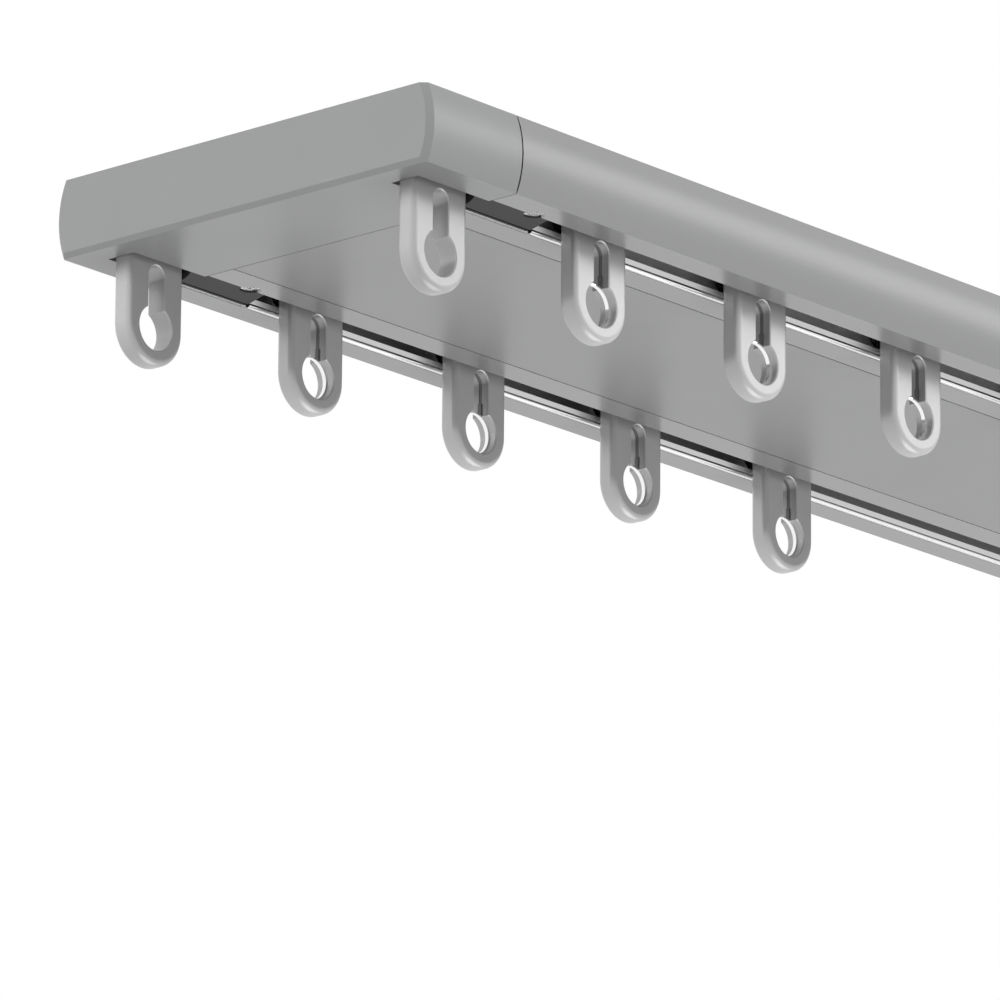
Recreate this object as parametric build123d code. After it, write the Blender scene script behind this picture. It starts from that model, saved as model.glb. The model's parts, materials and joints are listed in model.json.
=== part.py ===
from build123d import *
import math
import os

# Double curtain track for a ceiling, with two rows of roller gliders under one bowed aluminium rail.
# Millimetres. +X runs along the track, +Z points up at the ceiling, and the origin is the centre
# of the top face. The near row is at -Y and the far row at +Y.

# Rail
track_length = 500.0
track_height = 14.6
side_bulge = 1.5
web_thickness = 1.4
shell_thickness = 1.3
inner_wall = 1.2
row_offset = 34.2
channel_half_width = 6.6
channel_to_corner = 3.0
slot_near_edge = 4.0
slot_far_edge = 2.7
lip_thickness = 1.6
bead_radius = 0.45
bead_drop = 0.15
bead_groove_width = 0.5
bead_groove_depth = 0.4
guide_groove_depth = 0.3
guide_groove_half_width = 0.6
ceiling_hole_radius = 2.25
ceiling_hole_spacing = 320.0
ceiling_hole_count = 2

# Cover strip over the ceiling screws
cover_ledge = 2.25
cover_thickness = 1.2
cover_seam = 0.25
cover_leg_thickness = 1.0
cover_leg_inset = 1.6
cover_leg_height = 3.4
cover_barb_hold = 0.45
cover_barb_clearance = 0.1

# End caps
cap_length = 24.6
cap_seam = 0.16
cap_end_wall = 2.2
cap_wall = 1.6
cap_roof = 1.6
cap_side_chamfer = 1.1
cap_bottom_chamfer = 0.85
cap_slot_start = 5.9
cap_slot_half_width = 3.2

# Connectors, one in each channel at each end
connector_in_cap = 3.7
connector_in_rail = 18.1
connector_clearance = 0.2
connector_rib_recess = 0.15
connector_end_slant = 2.8
connector_bite = 3.3
connector_bite_sag = 0.55
connector_groove_width = 0.5
connector_groove_depth = 0.4
connector_groove_inset = 0.8
connector_corner = 0.5

# Set screws in the connectors
screw_reach = 11.3
screw_edge_offset = 0.1
screw_head_radius = 1.9
screw_head_height = 1.0
screw_shank_radius = 1.25
screw_shank_length = 6.0
screw_clearance = 0.05
screw_head_clearance = 0.1
screw_socket_radius = 0.95
screw_socket_depth = 0.7
screw_head_recess = 0.45
screw_head_round = 0.2

# Hangers
hanger_width = 14.4
hanger_thickness = 4.1
hanger_above_axle = 4.9
hanger_below_axle = 25.2
hanger_fillet = 1.2
eye_radius = 4.2
eye_above_bottom = 7.0
neck_half_width = 2.0
neck_top_above_bottom = 18.8
keyhole_edge = 0.2
plate_thickness = 0.8
plate_inset = 1.8
plate_clearance = 0.05
plate_proud = 0.3
plate_tongue_half_width = 5.6
plate_setback = 0.1
plate_setback_depth = 3.6
plate_axle_clearance = 0.6

# Wheels and axles
wheel_radius = 5.4
wheel_width = 3.2
wheel_gap = 0.9
wheel_round = 1.1
wheel_disc_radius = 4.15
wheel_disc_recess = 0.3
wheel_ring_radius = 2.7
wheel_ring_width = 0.25
wheel_ring_depth = 0.25
wheel_boss_radius = 2.2
wheel_boss_height = 0.6
rolling_clearance = 0.05
axle_radius = 1.2
axle_head_radius = 1.7
axle_head_height = 0.6
axle_head_clearance = 0.2
axle_dome = 0.2
fit_clearance = 0.05

# Fixed hooks in the end caps
hook_from_end = 13.25
hook_drop = 1.1
hook_head_thickness = 3.0
hook_head_clearance = 0.3

# Parking places of the gliders
first_glider_from_end = 56.7
glider_pitch = 45.3
gliders_per_row = 4

# Worked out from the driving dimensions
half_length = track_length / 2
rail_length = track_length - 2 * (cap_length + cap_seam)
underside = -track_height
lip_top = underside + lip_thickness
mid_height = underside / 2
corner_half_width = row_offset + channel_half_width + channel_to_corner
side_radius = (mid_height ** 2 + side_bulge ** 2) / (2 * side_bulge)
side_centre = corner_half_width + side_bulge - side_radius
cavity_half_width = row_offset - channel_half_width - inner_wall
cover_half_width = cavity_half_width - cover_ledge - cover_seam
lip_seat = slot_far_edge + 2 * bead_radius
axle_z = lip_top + wheel_radius + rolling_clearance
hanger_top = axle_z + hanger_above_axle
hanger_bottom = axle_z - hanger_below_axle
hook_bottom = hanger_bottom - hook_drop
wheel_inner = hanger_thickness / 2 + wheel_gap
wheel_outer = wheel_inner + wheel_width
rows = {"near": -row_offset, "far": row_offset}


def across(y_low, y_high, z_low, z_high):
    """A rectangle in the section, between two y values and two z values."""
    centre = Pos((y_low + y_high) / 2, (z_low + z_high) / 2)
    return centre * Rectangle(y_high - y_low, z_high - z_low)


def side_y(z, offset=0.0):
    """Half width of the bowed side at height z, moved inwards by offset."""
    radius = side_radius - offset
    return side_centre + math.sqrt(radius ** 2 - (z - mid_height) ** 2)


def bowed_outline(offset, z_low, z_high, y_inner):
    """The space on the +Y side between a straight inner wall and the bowed side."""
    wall = Line((y_inner, z_low), (y_inner, z_high))
    roof = Line((y_inner, z_high), (side_y(z_high, offset), z_high))
    middle = (z_low + z_high) / 2
    bow = ThreePointArc((side_y(z_high, offset), z_high), (side_y(middle, offset), middle),
                        (side_y(z_low, offset), z_low))
    floor = Line((side_y(z_low, offset), z_low), (y_inner, z_low))
    return make_face([wall, roof, bow, floor])


def both_sides(shape):
    """The section shape and its mirror image across the middle of the track."""
    return shape + mirror(shape, Plane.YZ)


def outer_section():
    """The outer outline shared by the rail and the caps."""
    right_half = bowed_outline(0.0, underside, 0.0, 0.0)
    return both_sides(right_half)


def slot(row_y, near_edge, far_edge):
    """The slot of one row through the underside, from its lip on the -Y side to the one on the +Y side."""
    return across(row_y - near_edge, row_y + far_edge, underside - 1, lip_top)


def rail_section():
    """The extrusion: web, two wheel channels, bowed sides and the ledges for the cover."""
    profile = outer_section()
    profile -= both_sides(bowed_outline(shell_thickness, lip_top, -web_thickness,
                                        row_offset - channel_half_width))
    profile -= across(-cavity_half_width, cavity_half_width,
                      underside + cover_thickness, -web_thickness)
    cover_opening = cover_half_width + cover_seam
    profile -= across(-cover_opening, cover_opening, underside - 1, underside + cover_thickness)
    for row_y in rows.values():
        profile -= slot(row_y, slot_near_edge, slot_far_edge)
        groove_y = row_y + lip_seat + bead_groove_width / 2
        profile -= Pos(groove_y, underside) * Rectangle(bead_groove_width, 2 * bead_groove_depth)
        bead = Pos(row_y + slot_far_edge + bead_radius, underside + bead_radius - bead_drop)
        profile += bead * Circle(bead_radius)
    groove = Polygon((-guide_groove_half_width, -web_thickness), (guide_groove_half_width, -web_thickness),
                     (0, -web_thickness + guide_groove_depth), align=None)
    return profile - groove


def along(sketch, start, length):
    """Extrude a section along +X from start."""
    return Pos(start, 0, 0) * extrude(Plane.YZ * sketch, length)


def turned(shape):
    """The same piece turned half round, for the other end of the track or the other side of a glider."""
    return Rot(0, 0, 180) * shape


def handed(shape):
    """The mirror image of a piece at the -X end, for the +X end of the same row."""
    return mirror(shape, Plane.YZ)


def screw_place(row_y):
    """Centre of a set screw at the -X end of the track."""
    x = -half_length + cap_length + screw_reach
    y = row_y - slot_near_edge + screw_edge_offset
    return x, y


def make_rail():
    rail = along(rail_section(), -rail_length / 2, rail_length)
    for index in range(ceiling_hole_count):
        x = (index - (ceiling_hole_count - 1) / 2) * ceiling_hole_spacing
        rail -= Pos(x, 0, -web_thickness / 2) * Cylinder(ceiling_hole_radius, 2 * web_thickness)
    for row_y in rows.values():
        x, y = screw_place(row_y)
        notch = Pos(x, y, underside) * Cylinder(screw_head_radius + screw_head_clearance,
                                                2 * lip_thickness + 1)
        seat_length = cap_length + connector_in_rail + connector_clearance
        seat = along(slot(row_y, 0, lip_seat), -half_length, seat_length)
        rail -= notch + seat
        rail -= handed(notch + seat)
    return rail


def make_cover():
    plate = across(-cover_half_width, cover_half_width, underside, underside + cover_thickness)
    leg_y = cover_half_width - cover_leg_inset
    leg_top = underside + cover_thickness + cover_leg_height
    leg = across(leg_y - cover_leg_thickness, leg_y, underside + cover_thickness, leg_top)
    barb_low = underside + cover_thickness + cover_barb_clearance
    barb_out = cover_half_width + cover_seam + cover_barb_hold
    barb = Polygon((leg_y, leg_top), (leg_y, barb_low), (barb_out, barb_low),
                   (barb_out, barb_low + cover_leg_thickness / 2), align=None)
    arm = leg + barb
    return along(plate + both_sides(arm), -rail_length / 2, rail_length)


def make_cap():
    """End cap at the -X end, open towards the rail."""
    cap = along(outer_section(), -half_length, cap_length)
    end_face = cap.faces().sort_by(Axis.X)[0]
    side_edges = end_face.edges().filter_by(GeomType.CIRCLE)
    cap = chamfer(side_edges, cap_side_chamfer)
    end_face = cap.faces().sort_by(Axis.X)[0]
    cap = chamfer(end_face.edges().sort_by(Axis.Z)[:1], cap_bottom_chamfer)
    room_start = -half_length + cap_end_wall
    room_length = cap_length - cap_end_wall
    channel = bowed_outline(cap_wall, lip_top, -cap_roof, row_offset - channel_half_width)
    cap -= along(both_sides(channel), room_start, room_length)
    cap_slot = slot(row_offset, cap_slot_half_width, cap_slot_half_width)
    cap -= along(both_sides(cap_slot), -half_length + cap_slot_start, cap_length - cap_slot_start)
    hollow = across(-cavity_half_width, cavity_half_width, underside + cap_roof, -cap_roof)
    cap -= along(hollow, room_start, room_length)
    return cap


def make_connector(row_y):
    """Plug that joins the cap at the -X end to the rail, with a rib that fills both slots."""
    start = -half_length + cap_length - connector_in_cap
    end = -half_length + cap_length + connector_in_rail
    mouth = -rail_length / 2
    body_start = start + connector_bite + connector_clearance
    body_end = end - connector_end_slant
    body_half = channel_half_width - connector_clearance
    roof = -max(cap_roof, web_thickness) - connector_clearance
    body = Pos((body_start + body_end) / 2, row_y, (roof + lip_top) / 2) * Box(
        body_end - body_start, 2 * body_half, roof - lip_top)
    gap = connector_clearance / 2
    near_in_cap, far_in_cap = row_y - cap_slot_half_width + gap, row_y + cap_slot_half_width - gap
    near, far = row_y - slot_near_edge + gap, row_y + lip_seat - gap
    bite_middle = start + connector_bite / 2 + connector_bite_sag
    in_cap = make_face([
        Line((start, near_in_cap), (mouth, near_in_cap)),
        Line((mouth, near_in_cap), (mouth, far_in_cap)),
        Line((mouth, far_in_cap), (start + connector_bite, far_in_cap)),
        ThreePointArc((start + connector_bite, far_in_cap), (bite_middle, row_y), (start, near_in_cap)),
    ])
    in_rail = Polygon((mouth, near), (body_end, near), (end, far), (mouth, far), align=None)
    rib_height = lip_thickness - connector_rib_recess
    rib = Pos(0, 0, lip_top - rib_height) * extrude(in_cap + in_rail, rib_height)
    rib_ends = [edge for edge in rib.edges().filter_by(Axis.Z) if edge.center().X > body_end - 0.01]
    rib = fillet(rib_ends, connector_corner)
    rib -= Pos(end, far - connector_groove_inset, lip_top - rib_height) * Box(
        2 * (end - mouth), connector_groove_width, 2 * connector_groove_depth)
    connector = body + rib
    x, y = screw_place(row_y)
    shank_room = screw_shank_length + screw_clearance
    head_floor = underside + screw_head_recess + screw_head_height
    connector -= Pos(x, y, head_floor + shank_room / 2) * Cylinder(
        screw_shank_radius + screw_clearance, shank_room)
    connector -= Pos(x, y, head_floor - track_height / 2) * Cylinder(
        screw_head_radius + screw_clearance, track_height)
    return connector


def make_screw(row_y):
    x, y = screw_place(row_y)
    head_low = underside + screw_head_recess
    head_top = head_low + screw_head_height
    head = Pos(0, 0, (head_low + head_top) / 2) * Cylinder(screw_head_radius, screw_head_height)
    head = fillet(head.edges().sort_by(Axis.Z)[:1], screw_head_round)
    shank = Pos(0, 0, head_top + screw_shank_length / 2) * Cylinder(screw_shank_radius, screw_shank_length)
    socket = Pos(0, 0, head_low) * extrude(RegularPolygon(screw_socket_radius, 6), screw_socket_depth)
    return Pos(x, y, 0) * (head + shank - socket)


def stadium(width, bottom, top):
    """Upright rounded outline drawn as (x, z)."""
    height = top - bottom
    return Pos(0, (top + bottom) / 2) * SlotOverall(height, width, rotation=90)


def upright(sketch, thickness):
    """A plate of an (x, z) outline, centred on y = 0."""
    return extrude(Plane.XZ * sketch, thickness / 2, both=True)


def eye(bottom, proud=0.0):
    """The round part of a keyhole, drawn as (x, z), made smaller all round by proud."""
    return Pos(0, bottom + eye_above_bottom) * Circle(eye_radius - proud)


def neck(bottom, proud=0.0):
    """The narrow part of a keyhole above the eye, drawn as (x, z), made smaller all round by proud."""
    eye_z = bottom + eye_above_bottom
    arch_z = bottom + neck_top_above_bottom - neck_half_width
    half = neck_half_width - proud
    return Pos(0, (eye_z + arch_z) / 2) * Rectangle(2 * half, arch_z - eye_z) + Pos(0, arch_z) * Circle(half)


def across_y(radius, length):
    """A round bar along Y, centred on y = 0."""
    return Rot(90, 0, 0) * Cylinder(radius, length)


def plate_blank(grow=0.0):
    """Outline of the steel plate inside a hanger, about the axle, without its holes."""
    inner = stadium(hanger_width - 2 * plate_inset + 2 * grow, -hanger_below_axle + plate_inset - grow,
                    hanger_above_axle - plate_inset + grow)
    full = stadium(hanger_width - 2 * plate_clearance, -hanger_below_axle, hanger_above_axle - plate_clearance)
    tongue_half = plate_tongue_half_width + grow
    tongue = full & (Pos(0, hanger_above_axle / 2) * Rectangle(2 * tongue_half, hanger_above_axle))
    return inner + tongue


def soften_keyhole(body, bottom):
    """Break the two face edges of a keyhole."""
    eye_z = bottom + eye_above_bottom
    reach = eye_radius + 0.01
    edges = [
        edge for edge in body.edges()
        if abs(abs(edge.center().Y) - hanger_thickness / 2) < 0.001
        and abs(edge.center().X) < reach
        and eye_z - reach < edge.center().Z < bottom + neck_top_above_bottom + 0.01
    ]
    return chamfer(edges, keyhole_edge)


def make_hanger():
    """Moulded hanger of a running glider, about its axle, with the pocket for the steel plate."""
    body = upright(stadium(hanger_width, -hanger_below_axle, hanger_above_axle), hanger_thickness)
    rim = [edge for edge in body.edges() if abs(abs(edge.center().Y) - hanger_thickness / 2) < 0.001]
    body = fillet(rim, hanger_fillet)
    body -= upright(eye(-hanger_below_axle) + neck(-hanger_below_axle), hanger_thickness + 1)
    body = soften_keyhole(body, -hanger_below_axle)
    body -= across_y(axle_radius + fit_clearance, hanger_thickness + 1)
    pocket = plate_blank(plate_clearance)
    outlet = Pos(0, hanger_above_axle) * Rectangle(2 * (plate_tongue_half_width + plate_clearance),
                                                   hanger_above_axle)
    return body - upright(pocket + outlet, plate_thickness)


def make_plate():
    """Steel plate that stiffens a hanger, with a thin hoop that closes the eye across its neck."""
    blank = plate_blank() - eye(-hanger_below_axle, plate_proud)
    blank -= neck(-hanger_below_axle, plate_proud) - eye(-hanger_below_axle)
    arch_z = -hanger_below_axle + neck_top_above_bottom - neck_half_width
    set_back = neck_half_width + plate_setback
    blank -= Pos(0, arch_z - plate_setback_depth / 2) * Rectangle(2 * set_back, plate_setback_depth)
    blank -= Pos(0, arch_z) * Circle(set_back)
    blank -= Circle(axle_radius + plate_axle_clearance)
    return upright(blank, plate_thickness)


def make_axle():
    """Riveted axle with a domed head at each end."""
    shaft = across_y(axle_radius, 2 * wheel_outer)
    for side in (-1, 1):
        head_centre = side * (wheel_outer - axle_head_height / 2)
        shaft += Pos(0, head_centre, 0) * across_y(axle_head_radius, axle_head_height)
        cap_radius = (axle_head_radius ** 2 + axle_dome ** 2) / (2 * axle_dome)
        ball = Pos(0, side * (wheel_outer + axle_dome - cap_radius), 0) * Sphere(cap_radius)
        dome_room = Pos(0, side * (wheel_outer + axle_dome / 2), 0) * across_y(axle_head_radius, axle_dome)
        shaft += ball & dome_room
    return shaft


def make_wheel():
    """Wheel on the +Y side, turned about the axle: rounded tread, recessed ringed disc, inner boss."""
    face = wheel_outer - wheel_disc_recess
    head_seat = wheel_outer - axle_head_height - fit_clearance
    low = wheel_inner - wheel_boss_height
    bore = axle_radius + fit_clearance
    head_room = axle_head_radius + axle_head_clearance
    half = Polygon((bore, low), (wheel_boss_radius, low), (wheel_boss_radius, wheel_inner),
                   (wheel_radius, wheel_inner), (wheel_radius, wheel_outer), (wheel_disc_radius, wheel_outer),
                   (wheel_disc_radius, face), (head_room, face), (head_room, head_seat),
                   (bore, head_seat), align=None)
    tread = [vertex for vertex in half.vertices() if vertex.X > wheel_radius - 0.01]
    half = fillet(tread, wheel_round)
    half -= Pos(wheel_ring_radius, face) * Rectangle(wheel_ring_width, 2 * wheel_ring_depth)
    return revolve(Plane.XY * half, Axis.Y)


def make_hook(row_y):
    """Fixed end hook at the -X end: a plain moulded hanger with a tee head held in the cap."""
    top = -cap_roof
    tall = stadium(hanger_width, hook_bottom, top + hanger_width)
    body = upright(tall & (Pos(0, (top + hook_bottom) / 2) * Rectangle(2 * hanger_width, top - hook_bottom)),
                   hanger_thickness)
    rim = [edge for edge in body.edges()
           if abs(abs(edge.center().Y) - hanger_thickness / 2) < 0.001 and edge.center().Z < top - 0.01]
    body = fillet(rim, hanger_fillet)
    body -= upright(eye(hook_bottom) + neck(hook_bottom), hanger_thickness + 1)
    body = soften_keyhole(body, hook_bottom)
    head_half = channel_half_width - hook_head_clearance
    body += Pos(0, 0, lip_top + hook_head_thickness / 2) * Box(hanger_width, 2 * head_half, hook_head_thickness)
    return Pos(-half_length + hook_from_end, row_y, 0) * body


os.makedirs("parts", exist_ok=True)


def save(shape, name):
    shape.label = name
    export_step(shape, f"parts/{name}.step")


save(make_rail(), "track_profile")
save(make_cover(), "centre_cover")
left_cap = make_cap()
save(left_cap, "end_cap_left")
save(turned(left_cap), "end_cap_right")

screws = []
for row, row_y in rows.items():
    pieces = {"connector": make_connector(row_y), "end_hook": make_hook(row_y)}
    for kind, shape in pieces.items():
        save(shape, f"{row}_{kind}_left")
        save(handed(shape), f"{row}_{kind}_right")
    screws += [make_screw(row_y), handed(make_screw(row_y))]
save(Compound(screws), "connector_screws")

hanger = make_hanger()
plate = make_plate()
axle = make_axle()
wheel = make_wheel()
wheels = {"front": turned(wheel), "back": wheel}
for row, row_y in rows.items():
    for index in range(gliders_per_row):
        x = -half_length + first_glider_from_end + index * glider_pitch
        place = Pos(x, row_y, axle_z)
        label = f"{row}_glider_{index + 1}"
        save(place * hanger, f"{label}_hanger")
        save(place * plate, f"{label}_plate")
        save(place * axle, f"{label}_axle")
        for side, shape in wheels.items():
            save(place * shape, f"{label}_wheel_{side}")
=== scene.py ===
# %% [markdown]
# # Double curtain track
# The measured solids of the track are already packed as a fixed frame, in metres, with +X along the
# track, +Y towards the far row of gliders and +Z up into the ceiling. This notebook dresses that frame:
# it gives every solid its finish, adds the small parts that are easier to build here than in CAD,
# and sets up a plain white studio with the camera below the track, looking up at its two slots.

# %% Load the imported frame
import json
import math

import bpy
from mathutils import Matrix, Vector


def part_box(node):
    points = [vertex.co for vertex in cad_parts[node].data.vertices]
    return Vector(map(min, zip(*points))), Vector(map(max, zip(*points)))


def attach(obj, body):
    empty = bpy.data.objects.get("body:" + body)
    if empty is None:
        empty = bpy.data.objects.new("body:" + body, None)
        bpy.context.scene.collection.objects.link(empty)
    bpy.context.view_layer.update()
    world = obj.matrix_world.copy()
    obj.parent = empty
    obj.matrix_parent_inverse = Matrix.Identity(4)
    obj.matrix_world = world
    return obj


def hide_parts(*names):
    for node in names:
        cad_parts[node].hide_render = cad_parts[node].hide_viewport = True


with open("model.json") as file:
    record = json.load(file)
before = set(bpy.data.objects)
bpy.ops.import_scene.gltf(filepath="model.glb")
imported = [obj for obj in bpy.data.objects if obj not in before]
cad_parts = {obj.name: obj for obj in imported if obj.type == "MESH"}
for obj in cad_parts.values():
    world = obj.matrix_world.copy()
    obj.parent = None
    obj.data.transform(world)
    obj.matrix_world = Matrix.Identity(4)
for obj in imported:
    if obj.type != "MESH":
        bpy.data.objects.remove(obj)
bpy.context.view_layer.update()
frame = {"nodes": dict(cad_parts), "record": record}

nodes = frame["nodes"]

# %% [markdown]
# Shader sums are easier to read as Python expressions than as boxes and wires. One small class holds a
# socket and turns each operator into a Math node. Everything else goes through `node`, which makes any
# other node from its type, its settings and the values or links of its inputs.

# %% A socket that can do sums
class Sum:
    """A number that varies over a surface, kept as the socket that gives it."""

    def __init__(self, tree, socket):
        self.tree = tree
        self.socket = socket

    def math(self, operation, other=None, third=None, swap=False):
        maths = self.tree.nodes.new("ShaderNodeMath")
        maths.operation = operation
        values = [self, other] if not swap else [other, self]
        values = [v for v in values + [third] if v is not None]
        for place, value in enumerate(values):
            join(self.tree, value, maths.inputs[place])
        return Sum(self.tree, maths.outputs[0])

    def __add__(self, other):
        return self.math("ADD", other)

    __radd__ = __add__

    def __sub__(self, other):
        return self.math("SUBTRACT", other)

    def __rsub__(self, other):
        return self.math("SUBTRACT", other, swap=True)

    def __mul__(self, other):
        return self.math("MULTIPLY", other)

    __rmul__ = __mul__

    def __abs__(self):
        return self.math("ABSOLUTE")

    def __pow__(self, other):
        return self.math("POWER", other)


def join(tree, value, socket):
    """Link a socket, or set a plain value, on an input."""
    if isinstance(value, Sum):
        tree.links.new(value.socket, socket)
    elif isinstance(value, bpy.types.NodeSocket):
        tree.links.new(value, socket)
    elif value is not None:
        socket.default_value = value


# %% [markdown]
# A finish is a material with one Principled shader. Its patterns read Object coordinates, which here are
# plain metres in the track's own frame, because every solid keeps its place in its mesh. A grain 0.1 mm
# across therefore needs a noise scale of about 10 000.

# %% A finish
class Finish:
    """One procedural material, built around a Principled shader."""

    def __init__(self, name, colour, roughness, metallic=0.0, coat=0.0, specular=0.5):
        self.material = bpy.data.materials.new(name)
        self.material.use_nodes = True
        self.tree = self.material.node_tree
        self.shader = self.tree.nodes["Principled BSDF"]
        self.shader.inputs["Base Color"].default_value = (*colour, 1.0)
        self.shader.inputs["Roughness"].default_value = roughness
        self.shader.inputs["Metallic"].default_value = metallic
        self.shader.inputs["Coat Weight"].default_value = coat
        self.shader.inputs["Specular IOR Level"].default_value = specular
        self.material.diffuse_color = (*colour, 1.0)
        place = self.node("ShaderNodeTexCoord")
        self.place = place.outputs["Object"]
        split = self.node("ShaderNodeSeparateXYZ", {}, {"Vector": self.place})
        self.x, self.y, self.z = (Sum(self.tree, split.outputs[axis]) for axis in "XYZ")

    def node(self, kind, settings=None, inputs=None):
        made = self.tree.nodes.new(kind)
        for key, value in (settings or {}).items():
            setattr(made, key, value)
        for key, value in (inputs or {}).items():
            join(self.tree, value, made.inputs[key])
        return made

    def stretched(self, sx, sy, sz):
        """Object coordinates multiplied axis by axis, for grain that runs one way."""
        scaled = self.node("ShaderNodeVectorMath", {"operation": "MULTIPLY"},
                           {0: self.place, 1: (sx, sy, sz)})
        return scaled.outputs[0]

    def noise(self, scale, detail=2.0, roughness=0.5, vector=None):
        made = self.node("ShaderNodeTexNoise", {}, {
            "Vector": vector or self.place, "Scale": scale, "Detail": detail, "Roughness": roughness})
        return Sum(self.tree, made.outputs["Fac"])

    def soften(self, value, low, high):
        """0 below low, 1 above high, smooth between. Give low above high to turn it round."""
        flip = low > high
        made = self.node("ShaderNodeMapRange", {"interpolation_type": "SMOOTHSTEP"}, {
            "Value": value, "From Min": min(low, high), "From Max": max(low, high),
            "To Min": 1.0 if flip else 0.0, "To Max": 0.0 if flip else 1.0})
        return Sum(self.tree, made.outputs["Result"])

    def mix(self, factor, first, second):
        """Blend two colours."""
        made = self.node("ShaderNodeMix", {"data_type": "RGBA"})
        join(self.tree, factor, made.inputs[0])
        for place, colour in ((6, first), (7, second)):
            if isinstance(colour, tuple) and len(colour) == 3:
                colour = (*colour, 1.0)
            join(self.tree, colour, made.inputs[place])
        return made.outputs[2]

    def bump(self, height, strength, distance):
        made = self.node("ShaderNodeBump", {}, {
            "Height": height, "Strength": strength, "Distance": distance})
        join(self.tree, made.outputs["Normal"], self.shader.inputs["Normal"])

    def feed(self, **values):
        for key, value in values.items():
            join(self.tree, value, self.shader.inputs[key.replace("_", " ").title()])


def grey(level, warm=0.0):
    """A near-neutral linear colour, a touch warmer or cooler."""
    return (level * (1 + warm), level, level * (1 - warm))


# %% [markdown]
# ## The rail
# The rail is one aluminium extrusion, sprayed a satin grey outside and left bare in its two channels,
# where the wheels run. Drawing it through its die leaves fine lines along its length, which are a noise
# squeezed along X. The bare metal is found by its place in the section: everything between the underside
# and the top that lies within a channel's width of a row. Its pale grey is partly the bare metal and partly
# painted light, lifting the channels out of their shade. The inner face of each far lip leans down a
# little towards the slot, too little to model, so the bump tilts it.

# %% Satin extruded aluminium
MM = 0.001
ROW = 34.2 * MM
CHANNEL_HALF = 6.6 * MM
UNDERSIDE = -14.6 * MM
LIP_TOP = -13.0 * MM
LIP_FACE = 2.7 * MM
LIP_SLOPE = 0.5
SEAM_X = 225.32 * MM
SIDE_Y = 43.8 * MM
RAIL_GREY = 0.3
RAIL_METAL = 0.3
RAIL_ROUGHNESS = 0.37
DRAWN_ROUGHNESS = 0.26
# Grey of the bare channels: partly the bare metal, partly painted light against the shade inside them.
BARE_GREY_WITH_PAINTED_LIGHT = 0.85
LIP_GREY = 0.65


def with_painted_seam_shadow(finish, colour):
    """Paint a dark shadow line on the last edge before the seam between rail and cap along the bowed sides.
    """
    # Painted shadow: a near-black line stands in for the shade inside the narrow gap at the seam.
    seam_shadow = finish.soften(abs(abs(finish.x) - SEAM_X), 0.24 * MM, 0.16 * MM)
    side = finish.soften(abs(finish.y), SIDE_Y, SIDE_Y + 0.3 * MM)
    return finish.mix(seam_shadow * side, colour, grey(0.02))


def rail_finish():
    finish = Finish("satin_rail", grey(RAIL_GREY, -0.008), DRAWN_ROUGHNESS)
    lines = finish.noise(1.0, 3.0, 0.6, finish.stretched(14.0, 5200.0, 5200.0))
    cloud = finish.noise(22.0, 2.0, 0.5)
    across = finish.y - finish.y.math("SIGN") * ROW
    in_channel = finish.soften(abs(across), CHANNEL_HALF + 0.9 * MM, CHANNEL_HALF + 0.7 * MM)
    above = finish.soften(finish.z, UNDERSIDE + 0.02 * MM, UNDERSIDE + 0.1 * MM)
    below = finish.soften(finish.z, -0.3 * MM, -0.6 * MM)
    bare_with_painted_light = in_channel * above * below
    lip = finish.soften(abs(across - LIP_FACE), 0.12 * MM, 0.06 * MM)
    lip = lip * finish.soften(finish.z, LIP_TOP + 0.05 * MM, LIP_TOP)
    sprayed = finish.mix(cloud * 0.5, grey(RAIL_GREY * 1.04, -0.008), grey(RAIL_GREY * 0.93, -0.004))
    # Painted light: the channel insides are painted paler than their shade would leave them, over the bare
    # metal's own grey.
    bare_colour_with_painted_light = finish.mix(lip, grey(BARE_GREY_WITH_PAINTED_LIGHT), grey(LIP_GREY))
    finish.feed(base_color=with_painted_seam_shadow(finish, finish.mix(bare_with_painted_light, sprayed, bare_colour_with_painted_light)))
    finish.feed(metallic=bare_with_painted_light * 0.1 + lip * 0.6 + RAIL_METAL)
    finish.feed(roughness=bare_with_painted_light * 0.1 + lines * 0.03 + (DRAWN_ROUGHNESS - 0.01))
    finish.bump(lines * (0.0008 * MM) + lip * finish.z * LIP_SLOPE, 1.0, 1.0)
    print("rail finish:", len(finish.tree.nodes), "nodes")
    return finish.material


# %% [markdown]
# ## Moulded parts
# The cover strip and the end caps are moulded and sprayed to match the rail, so they share its grey but
# have a fine, even grain in place of draw lines. The connectors are a darker, unpainted moulding. The
# hangers are glossy outside, and the walls of the narrow neck above each eye are painted darker, a
# painted shade for the shadow in the neck. The gliders are evenly spaced, so wrapping x by their spacing
# gives the distance from the nearest.

# %% Sprayed and plain mouldings
FIRST_X = -193.3 * MM
SPACING = 45.3 * MM
EYE_Z = -25.75 * MM
NECK_HALF = 2.0 * MM
NECK_ARCH_Z = -15.95 * MM


def neck_shade_mask(finish):
    """1 on the walls of the narrow neck above each running glider's eye, where shade is painted, 0
    elsewhere.
    """
    dx = (finish.x - FIRST_X).math("WRAP", SPACING / 2, -SPACING / 2)
    rise = (finish.z - NECK_ARCH_Z).math("MAXIMUM", 0.0)
    shaded_wall = finish.soften((dx * dx + rise * rise) ** 0.5, NECK_HALF + 0.06 * MM, NECK_HALF + 0.03 * MM)
    return shaded_wall * finish.soften(finish.z, EYE_Z + 3.4 * MM, EYE_Z + 3.8 * MM)


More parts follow.
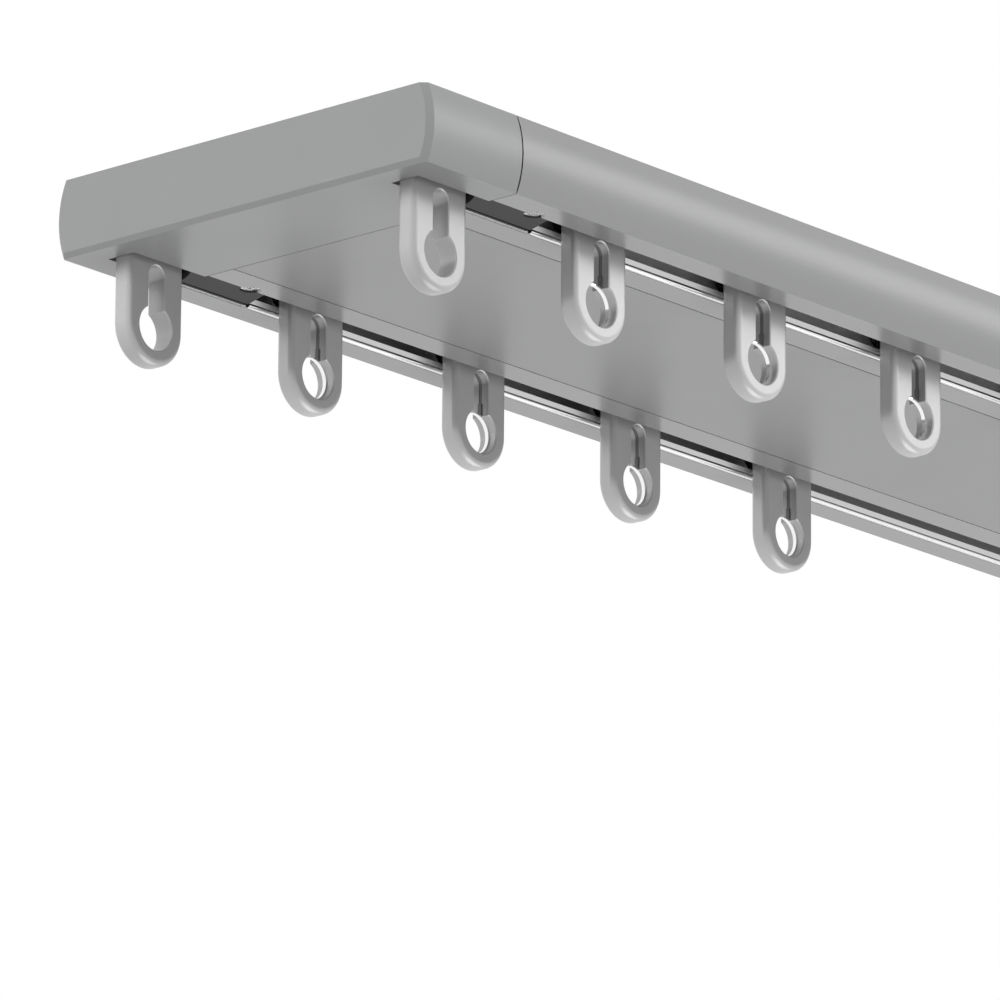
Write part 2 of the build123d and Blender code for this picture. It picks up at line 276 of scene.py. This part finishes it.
def moulded_finish(name, level, roughness, grain, depth, coat=0.0, tint=0.0, specular=0.5, metallic=0.0,
                   neck_shade=None):
    finish = Finish(name, grey(level, tint), roughness, metallic, coat, specular)
    speckle = finish.noise(grain, 2.0, 0.6)
    cloud = finish.noise(60.0, 2.0, 0.5)
    tone = finish.mix(cloud, grey(level * 1.04, tint), grey(level * 0.95, tint))
    if neck_shade:
        # Painted shade: the neck walls are darkened to stand in for the shadow inside the narrow neck.
        tone = finish.mix(neck_shade_mask(finish), tone, grey(neck_shade))
    finish.feed(base_color=with_painted_seam_shadow(finish, tone))
    finish.feed(roughness=speckle * 0.12 + (roughness - 0.06))
    finish.bump(speckle, 0.2, depth * MM)
    print(name + ":", len(finish.tree.nodes), "nodes")
    return finish.material


# %% [markdown]
# ## Bright metal
# The set screws are nickel plated, with a rough, crumpled head, and the axle ends are bright. Both are true
# metals, with a little smear in the roughness so that they don't look like mirrors. The steel plate inside
# each hanger is polished only where its hoop lines the eye; where it lies back in the neck it is dull and
# painted dark, a painted shade for the shadow there.

# %% Bright metals
def bright_finish(name, level, roughness, smear, crumple=0.0):
    finish = Finish(name, grey(level), roughness, metallic=1.0)
    tone = finish.noise(300.0, 2.0, 0.5)
    finish.feed(base_color=finish.mix(tone, grey(level), grey(level * 0.9)))
    finish.feed(roughness=(finish.noise(900.0, 3.0, 0.6) - 0.5) * smear + roughness)
    if crumple:
        finish.bump(finish.noise(1500.0, 3.0, 0.6), 1.0, crumple * MM)
    print(name + ":", len(finish.tree.nodes), "nodes")
    return finish.material


EYE_RADIUS = 4.2 * MM


def plate_finish():
    finish = Finish("plate_steel", grey(0.8), 0.16, metallic=1.0)
    dx = (finish.x - FIRST_X).math("WRAP", SPACING / 2, -SPACING / 2)
    dz = finish.z - EYE_Z
    hoop = finish.soften((dx * dx + dz * dz) ** 0.5, EYE_RADIUS + 0.15 * MM, EYE_RADIUS)
    smear = finish.noise(900.0, 3.0, 0.6)
    # Painted shade: away from the hoop the plate is painted dark, standing in for the shadow in the neck.
    finish.feed(base_color=finish.mix(hoop, grey(0.18), grey(0.9)))
    finish.feed(metallic=hoop * 0.6 + 0.4, roughness=(1 - hoop) * 0.35 + smear * 0.06 + 0.03)
    print("plate finish:", len(finish.tree.nodes), "nodes")
    return finish.material


# %% [markdown]
# ## Wheels
# Each wheel is one solid in the frame, but the real one has a glossy black tread round a duller disc
# with two turned rings. The distance from the axle tells them apart. Every wheel turns about its own
# axle, so its finish measures from that axle, and there is one copy of the material for each glider.

# %% Wheel finish
AXLE_Z = -7.55 * MM
DISC_RADIUS = 4.2 * MM


def wheel_finish(name, axle_x):
    finish = Finish(name, grey(0.02), 0.2, coat=0.3)
    dx = finish.x - axle_x
    dz = finish.z - AXLE_Z
    radius = (dx * dx + dz * dz) ** 0.5
    disc = finish.soften(radius, DISC_RADIUS + 0.1 * MM, DISC_RADIUS)
    speckle = finish.noise(5200.0, 2.0, 0.6)
    turned = finish.node("ShaderNodeTexNoise", {}, {
        "Vector": finish.node("ShaderNodeCombineXYZ", {}, {"X": radius * 9000.0}).outputs[0], "Scale": 1.0})
    rings = Sum(finish.tree, turned.outputs["Fac"])
    finish.feed(base_color=finish.mix(disc, grey(0.012), grey(0.055)))
    finish.feed(roughness=disc * 0.26 + speckle * 0.1 + 0.13)
    finish.bump(rings * disc + speckle * 0.4, 0.25, 0.02 * MM)
    return finish.material


# %% Give every solid its finish
finishes = {
    "rail": rail_finish(),
    "cover": moulded_finish("sprayed_cover", RAIL_GREY, RAIL_ROUGHNESS, 9000.0, 0.01, tint=-0.004,
                            metallic=RAIL_METAL),
    "cap": moulded_finish("sprayed_cap", RAIL_GREY, RAIL_ROUGHNESS, 7000.0, 0.01, tint=-0.008,
                          metallic=RAIL_METAL),
    "connector": moulded_finish("dark_connector", 0.045, 0.6, 5000.0, 0.02, specular=0.2),
    "screw": bright_finish("nickel_screw", 0.85, 0.16, 0.14, crumple=0.3),
    "hook": moulded_finish("hook_moulding", 0.48, 0.32, 2500.0, 0.002, coat=0.1, metallic=0.3),
    "hanger": moulded_finish("hanger_moulding", 0.55, 0.36, 2500.0, 0.002, coat=0.1, metallic=0.42,
                             neck_shade=0.42),
    "plate": plate_finish(),
    "axle": bright_finish("bright_axle", 0.8, 0.2, 0.14),
}
slots = {entry["node"]: entry["material_slot"] for entry in frame["record"]["subparts"]}
wheel_materials = {}


def centre_x(node):
    low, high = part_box(node)
    return (low[0] + high[0]) / 2


for name, solid in nodes.items():
    kind = slots[name]
    if kind == "wheel":
        key = round(centre_x(name) * 1000, 1)
        if key not in wheel_materials:
            wheel_materials[key] = wheel_finish("wheel_at_%d" % round(key), centre_x(name))
        finish = wheel_materials[key]
    else:
        finish = finishes[kind]
    solid.data.materials.clear()
    solid.data.materials.append(finish)
print("wheel finishes:", len(wheel_materials))

# %% [markdown]
# ## Polished beads along the slots
# The far lip of each slot ends in a round bead that is polished bright, and it shows as a thin white line
# between the two connectors. It follows a straight path at two places across the section, so it is a job
# for Geometry Nodes: one line, one circle to sweep along it, and two points to repeat it on. The bead runs
# over the rail's own bead, a few hundredths of a millimetre proud.

# %% A small builder for node trees
class Tree:
    """A Geometry Nodes tree with named inputs, built step by step."""

    def __init__(self, name, **inputs):
        self.tree = bpy.data.node_groups.new(name, "GeometryNodeTree")
        self.tree.interface.new_socket("Geometry", in_out="OUTPUT", socket_type="NodeSocketGeometry")
        self.sockets = {}
        for label, value in inputs.items():
            kind = {float: "NodeSocketFloat", int: "NodeSocketInt"}.get(type(value), "NodeSocketMaterial")
            socket = self.tree.interface.new_socket(label, in_out="INPUT", socket_type=kind)
            self.sockets[label] = (socket.identifier, value)
        self.entry = self.tree.nodes.new("NodeGroupInput")
        self.exit = self.tree.nodes.new("NodeGroupOutput")

    def given(self, label):
        return self.entry.outputs[label]

    def node(self, kind, settings=None, inputs=None):
        made = self.tree.nodes.new(kind)
        for key, value in (settings or {}).items():
            setattr(made, key, value)
        for key, value in (inputs or {}).items():
            join(self.tree, value, made.inputs[key])
        return made

    def scaled(self, label, factor):
        """A named input times a plain number."""
        product = self.node("ShaderNodeMath", {"operation": "MULTIPLY"}, {0: self.given(label), 1: factor})
        return product.outputs[0]

    def moved(self, geometry, offset):
        placed = self.node("GeometryNodeTransform", {}, {"Geometry": geometry, "Translation": offset})
        return placed.outputs[0]

    def build(self, name, geometry):
        """Run the tree once and keep its result as a plain mesh object."""
        real = self.node("GeometryNodeRealizeInstances", {}, {0: geometry})
        painted = self.node("GeometryNodeSetMaterial", {}, {
            "Geometry": real.outputs[0], "Material": self.given("finish")})
        self.tree.links.new(painted.outputs[0], self.exit.inputs[0])
        holder = bpy.data.objects.new(name + "_maker", bpy.data.meshes.new(name + "_maker"))
        bpy.context.collection.objects.link(holder)
        modifier = holder.modifiers.new("maker", "NODES")
        modifier.node_group = self.tree
        for identifier, value in self.sockets.values():
            modifier[identifier] = value
        graph = bpy.context.evaluated_depsgraph_get()
        mesh = bpy.data.meshes.new_from_object(holder.evaluated_get(graph))
        holder.modifiers.remove(modifier)
        bpy.data.objects.remove(holder)
        mesh.name = name
        made = bpy.data.objects.new(name, mesh)
        bpy.context.collection.objects.link(made)
        print(name + ":", len(mesh.polygons), "faces")
        return made


# %% Sweep the beads
BEAD_RADIUS = 0.54 * MM
BEAD_OFFSET = 3.15 * MM
BEAD_CENTRE = UNDERSIDE + 0.3 * MM
BEAD_END = 207.1 * MM


def make_beads(finish):
    tree = Tree("lip_bead_maker", half_length=BEAD_END, bead_radius=BEAD_RADIUS, row=ROW,
                lip_offset=BEAD_OFFSET, height=BEAD_CENTRE, finish=finish)
    start = tree.node("ShaderNodeCombineXYZ", {}, {"X": tree.scaled("half_length", -1.0)})
    end = tree.node("ShaderNodeCombineXYZ", {}, {"X": tree.scaled("half_length", 1.0)})
    line = tree.node("GeometryNodeCurvePrimitiveLine", {}, {
        "Start": start.outputs[0], "End": end.outputs[0]})
    ring = tree.node("GeometryNodeCurvePrimitiveCircle", {}, {
        "Resolution": 24, "Radius": tree.given("bead_radius")})
    swept = tree.node("GeometryNodeCurveToMesh", {}, {
        "Curve": line.outputs[0], "Profile Curve": ring.outputs[0], "Fill Caps": True})
    rounded = tree.node("GeometryNodeSetShadeSmooth", {}, {"Geometry": swept.outputs[0]})
    points = tree.node("GeometryNodeJoinGeometry")
    for side in (-1.0, 1.0):
        across = tree.node("ShaderNodeMath", {"operation": "ADD"}, {
            0: tree.scaled("row", side), 1: tree.given("lip_offset")})
        place = tree.node("ShaderNodeCombineXYZ", {}, {"Y": across.outputs[0], "Z": tree.given("height")})
        point = tree.node("GeometryNodePoints", {}, {"Count": 1, "Position": place.outputs[0]})
        tree.tree.links.new(point.outputs[0], points.inputs[0])
    copies = tree.node("GeometryNodeInstanceOnPoints", {}, {
        "Points": points.outputs[0], "Instance": rounded.outputs[0]})
    beads = tree.build("lip_beads", copies.outputs[0])
    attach(beads, "track")
    return beads


# %% [markdown]
# ## Set screws
# A nickel-plated set screw locks each connector into the rail. All four are alike, so one screw is made
# from a head, a threaded shank and a cross recess cut out of the head, and is repeated on four points.
# The thread is a spiral curve with a small ridge swept along it.

# %% The head of a screw, with its cross recess
HEAD_RADIUS = 1.9 * MM


def raised(tree, geometry, lift):
    """Geometry lifted by the socket lift."""
    return tree.moved(geometry, tree.node("ShaderNodeCombineXYZ", {}, {"Z": lift}).outputs[0])


def screw_head(tree):
    head = tree.node("GeometryNodeMeshCylinder", {}, {
        "Vertices": 48, "Radius": tree.given("head_radius"), "Depth": tree.given("head_height")})
    solid = raised(tree, head.outputs["Mesh"], tree.scaled("head_height", 0.5))
    arms = []
    for turn in (0.25, 0.75):
        size = tree.node("ShaderNodeCombineXYZ", {}, {
            "X": tree.scaled("recess_arm", 2.0), "Y": tree.given("recess_width"),
            "Z": tree.given("head_height")})
        arm = tree.node("GeometryNodeMeshCube", {}, {"Size": size.outputs[0]})
        turned = tree.node("GeometryNodeTransform", {}, {
            "Geometry": arm.outputs["Mesh"], "Rotation": (0.0, 0.0, turn * math.pi)})
        arms.append(turned.outputs[0])
    cross = tree.node("GeometryNodeMeshBoolean", {"operation": "UNION"})
    tree.tree.links.new(arms[1], cross.inputs[1])
    tree.tree.links.new(arms[0], cross.inputs[1])
    cut = tree.node("GeometryNodeMeshBoolean", {"operation": "DIFFERENCE"}, {0: solid})
    tree.tree.links.new(cross.outputs[0], cut.inputs[1])
    return cut.outputs[0]


print("head radius (mm):", round(HEAD_RADIUS / MM, 2))


# %% The shank and its thread
def screw_shank(tree):
    core = tree.node("GeometryNodeMeshCylinder", {}, {
        "Vertices": 24, "Radius": tree.given("shank_radius"), "Depth": tree.given("shank_length")})
    lift = tree.node("ShaderNodeMath", {"operation": "ADD"}, {
        0: tree.scaled("shank_length", 0.5), 1: tree.given("head_height")})
    return raised(tree, core.outputs["Mesh"], lift.outputs[0])


def screw_thread(tree):
    rise = tree.node("ShaderNodeMath", {"operation": "MULTIPLY"}, {
        0: tree.given("pitch"), 1: tree.given("turns")})
    spiral = tree.node("GeometryNodeCurveSpiral", {}, {
        "Resolution": 16, "Rotations": tree.given("turns"), "Start Radius": tree.given("shank_radius"),
        "End Radius": tree.given("shank_radius"), "Height": rise.outputs[0]})
    ridge = tree.node("GeometryNodeCurvePrimitiveCircle", {}, {
        "Resolution": 4, "Radius": tree.scaled("pitch", 0.22)})
    thread = tree.node("GeometryNodeCurveToMesh", {}, {
        "Curve": spiral.outputs[0], "Profile Curve": ridge.outputs[0], "Fill Caps": True})
    seat = tree.node("ShaderNodeMath", {"operation": "ADD"}, {
        0: tree.given("head_height"), 1: tree.scaled("pitch", 0.3)})
    return raised(tree, thread.outputs[0], seat.outputs[0])


# %% Repeat the screw at the four connectors
SCREW_OFFSET = 3.9 * MM


def make_set_screws(finish):
    low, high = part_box("connector_screws")
    reach = (high[0] - low[0]) / 2 - HEAD_RADIUS
    tree = Tree("set_screw_maker", head_radius=HEAD_RADIUS, head_height=1.0 * MM,
                shank_radius=1.12 * MM, shank_length=5.9 * MM, pitch=0.5 * MM, turns=11.0,
                recess_arm=1.25 * MM, recess_width=0.42 * MM, finish=finish)
    screw = tree.node("GeometryNodeJoinGeometry")
    for part in (screw_thread(tree), screw_shank(tree), screw_head(tree)):
        tree.tree.links.new(part, screw.inputs[0])
    points = tree.node("GeometryNodeJoinGeometry")
    for end in (-1, 1):
        for row in (-1, 1):
            place = (end * reach, row * ROW - SCREW_OFFSET, low[2])
            point = tree.node("GeometryNodePoints", {}, {"Count": 1, "Position": place})
            tree.tree.links.new(point.outputs[0], points.inputs[0])
    copies = tree.node("GeometryNodeInstanceOnPoints", {}, {
        "Points": points.outputs[0], "Instance": screw.outputs[0]})
    screws = tree.build("set_screws", copies.outputs[0])
    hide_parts("connector_screws")
    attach(screws, "track")
    return screws


make_beads(bright_finish("polished_bead", 0.88, 0.17, 0.02))
make_set_screws(finishes["screw"])

# %% [markdown]
# ## Studio
# The track hangs in a white studio. The world is plain white wherever the camera, a reflection or a
# look through something clear meets it, and a softer grey where it only lights a dull surface. The floor
# lies a room's height below, out of the main view, and shows plain white in reflections too. A long soft
# lamp to the front and above lights the side of the track and leaves the far row in its shade, and a
# narrower one inside it reflects as a band of light along the bowed side. The end is lit by a lamp from
# above, so that the end cap shades the gliders behind it, and by a smaller, lower one from the far side,
# which reaches in under the rail to the edges of the far row. A weak one from below keeps the underside
# from going dull.

# %% World and floor
FILL = 0.36
FLOOR_GLOW = 0.75
FLOOR_HEIGHT = -2.4
FLOOR_HALF = 30.0


def make_world():
    world = bpy.data.worlds.new("studio_world")
    bpy.context.scene.world = world
    world.use_nodes = True
    tree = world.node_tree
    tree.nodes.clear()
    output = tree.nodes.new("ShaderNodeOutputWorld")
    path = tree.nodes.new("ShaderNodeLightPath")
    seen = Sum(tree, path.outputs["Is Camera Ray"])
    seen = seen.math("MAXIMUM", Sum(tree, path.outputs["Is Glossy Ray"]))
    seen = seen.math("MAXIMUM", Sum(tree, path.outputs["Is Transmission Ray"]))
    lit = tree.nodes.new("ShaderNodeBackground")
    lit.inputs["Color"].default_value = (1, 1, 1, 1)
    tree.links.new((seen * (1.0 - FILL) + FILL).socket, lit.inputs["Strength"])
    tree.links.new(lit.outputs[0], output.inputs["Surface"])


def make_floor(height, half_size):
    mesh = bpy.data.meshes.new("studio_floor")
    corners = [(-half_size, -half_size, height), (half_size, -half_size, height),
               (half_size, half_size, height), (-half_size, half_size, height)]
    mesh.from_pydata(corners, [], [(0, 1, 2, 3)])
    floor = bpy.data.objects.new("studio_floor", mesh)
    bpy.context.collection.objects.link(floor)
    paint = Finish("studio_paint", grey(0.85), 0.7)
    back = paint.node("ShaderNodeNewGeometry").outputs["Backfacing"]
    path = paint.node("ShaderNodeLightPath")
    seen = Sum(paint.tree, path.outputs["Is Camera Ray"]) * FLOOR_GLOW
    seen = seen.math("MAXIMUM", Sum(paint.tree, path.outputs["Is Glossy Ray"]))
    seen = seen.math("MAXIMUM", Sum(paint.tree, path.outputs["Is Transmission Ray"]))
    white = paint.node("ShaderNodeEmission", {}, {"Color": (1.0, 1.0, 1.0, 1.0), "Strength": 1.0}).outputs[0]
    clear = paint.node("ShaderNodeBsdfTransparent").outputs[0]
    top = paint.node("ShaderNodeMixShader", {}, {0: seen, 1: paint.shader.outputs[0], 2: white})
    both = paint.node("ShaderNodeMixShader", {}, {0: back, 1: top.outputs[0], 2: clear})
    paint.tree.links.new(both.outputs[0], paint.tree.nodes["Material Output"].inputs["Surface"])
    mesh.materials.append(paint.material)
    return floor


make_world()
make_floor(FLOOR_HEIGHT, FLOOR_HALF)
print("fill outside the reflections:", FILL)


# %% Lamps
MIDDLE = (0.0, 0.0, 0.0)
SHOWN_END = (-0.25, 0.0, 0.0)


def make_lamp(name, place, aim, size, watts, reflected):
    light = bpy.data.lights.new(name, "AREA")
    light.shape = "RECTANGLE"
    light.size, light.size_y = size
    light.energy = watts
    lamp = bpy.data.objects.new(name, light)
    bpy.context.collection.objects.link(lamp)
    lamp.visible_glossy = reflected
    lamp.location = place
    lamp.rotation_mode = "QUATERNION"
    lamp.rotation_quaternion = (Vector(aim) - Vector(place)).to_track_quat("-Z", "Y")
    return lamp


make_lamp("long_key", (1.5, -1.7, 1.0), MIDDLE, (3.0, 1.0), watts=53.0, reflected=False)
make_lamp("band_light", (1.5, -1.7, 0.98), MIDDLE, (2.4, 0.75), watts=5.0, reflected=True)
make_lamp("end_key", (-2.0, 0.1, 1.2), SHOWN_END, (1.2, 0.8), watts=31.0, reflected=False)
make_lamp("far_end_key", (-2.0, 1.2, 0.5), SHOWN_END, (0.8, 0.5), watts=10.0, reflected=False)
make_lamp("under_fill", (0.3, -0.3, -1.2), MIDDLE, (1.2, 1.2), watts=6.5, reflected=True)

# %% [markdown]
# ## Camera
# A product shot like this is taken with a very long lens from a couple of metres away, so the lines
# barely converge. The place and direction came from solving the photograph's straight edges and hooks
# against the measured model.

# %% The camera
CAMERA_PLACE = (-1.446019, -1.111764, -0.547616)
YAW = math.radians(48.73)
PITCH = math.radians(16.38)
ROLL = math.radians(0.42)
FOCAL_PIXELS = 9678.0
PICTURE_PIXELS = 1000.0
SENSOR = 36.0


def make_camera():
    data = bpy.data.cameras.new("studio_camera")
    data.sensor_width = SENSOR
    data.lens = FOCAL_PIXELS * SENSOR / PICTURE_PIXELS
    data.clip_start = 0.1
    data.clip_end = 60.0
    camera = bpy.data.objects.new("studio_camera", data)
    bpy.context.collection.objects.link(camera)
    ahead = Vector((math.sin(YAW) * math.cos(PITCH), math.cos(YAW) * math.cos(PITCH), math.sin(PITCH)))
    level = Vector((math.cos(YAW), -math.sin(YAW), 0.0))
    upright = level.cross(ahead)
    right = math.cos(ROLL) * level + math.sin(ROLL) * upright
    up = math.cos(ROLL) * upright - math.sin(ROLL) * level
    turn = Matrix((right, up, -ahead)).transposed().to_4x4()
    camera.matrix_world = Matrix.Translation(CAMERA_PLACE) @ turn
    bpy.context.scene.camera = camera
    return camera


make_camera()
bpy.context.scene.view_settings.view_transform = "Standard"
print("camera lens (mm):", round(bpy.context.scene.camera.data.lens, 1))
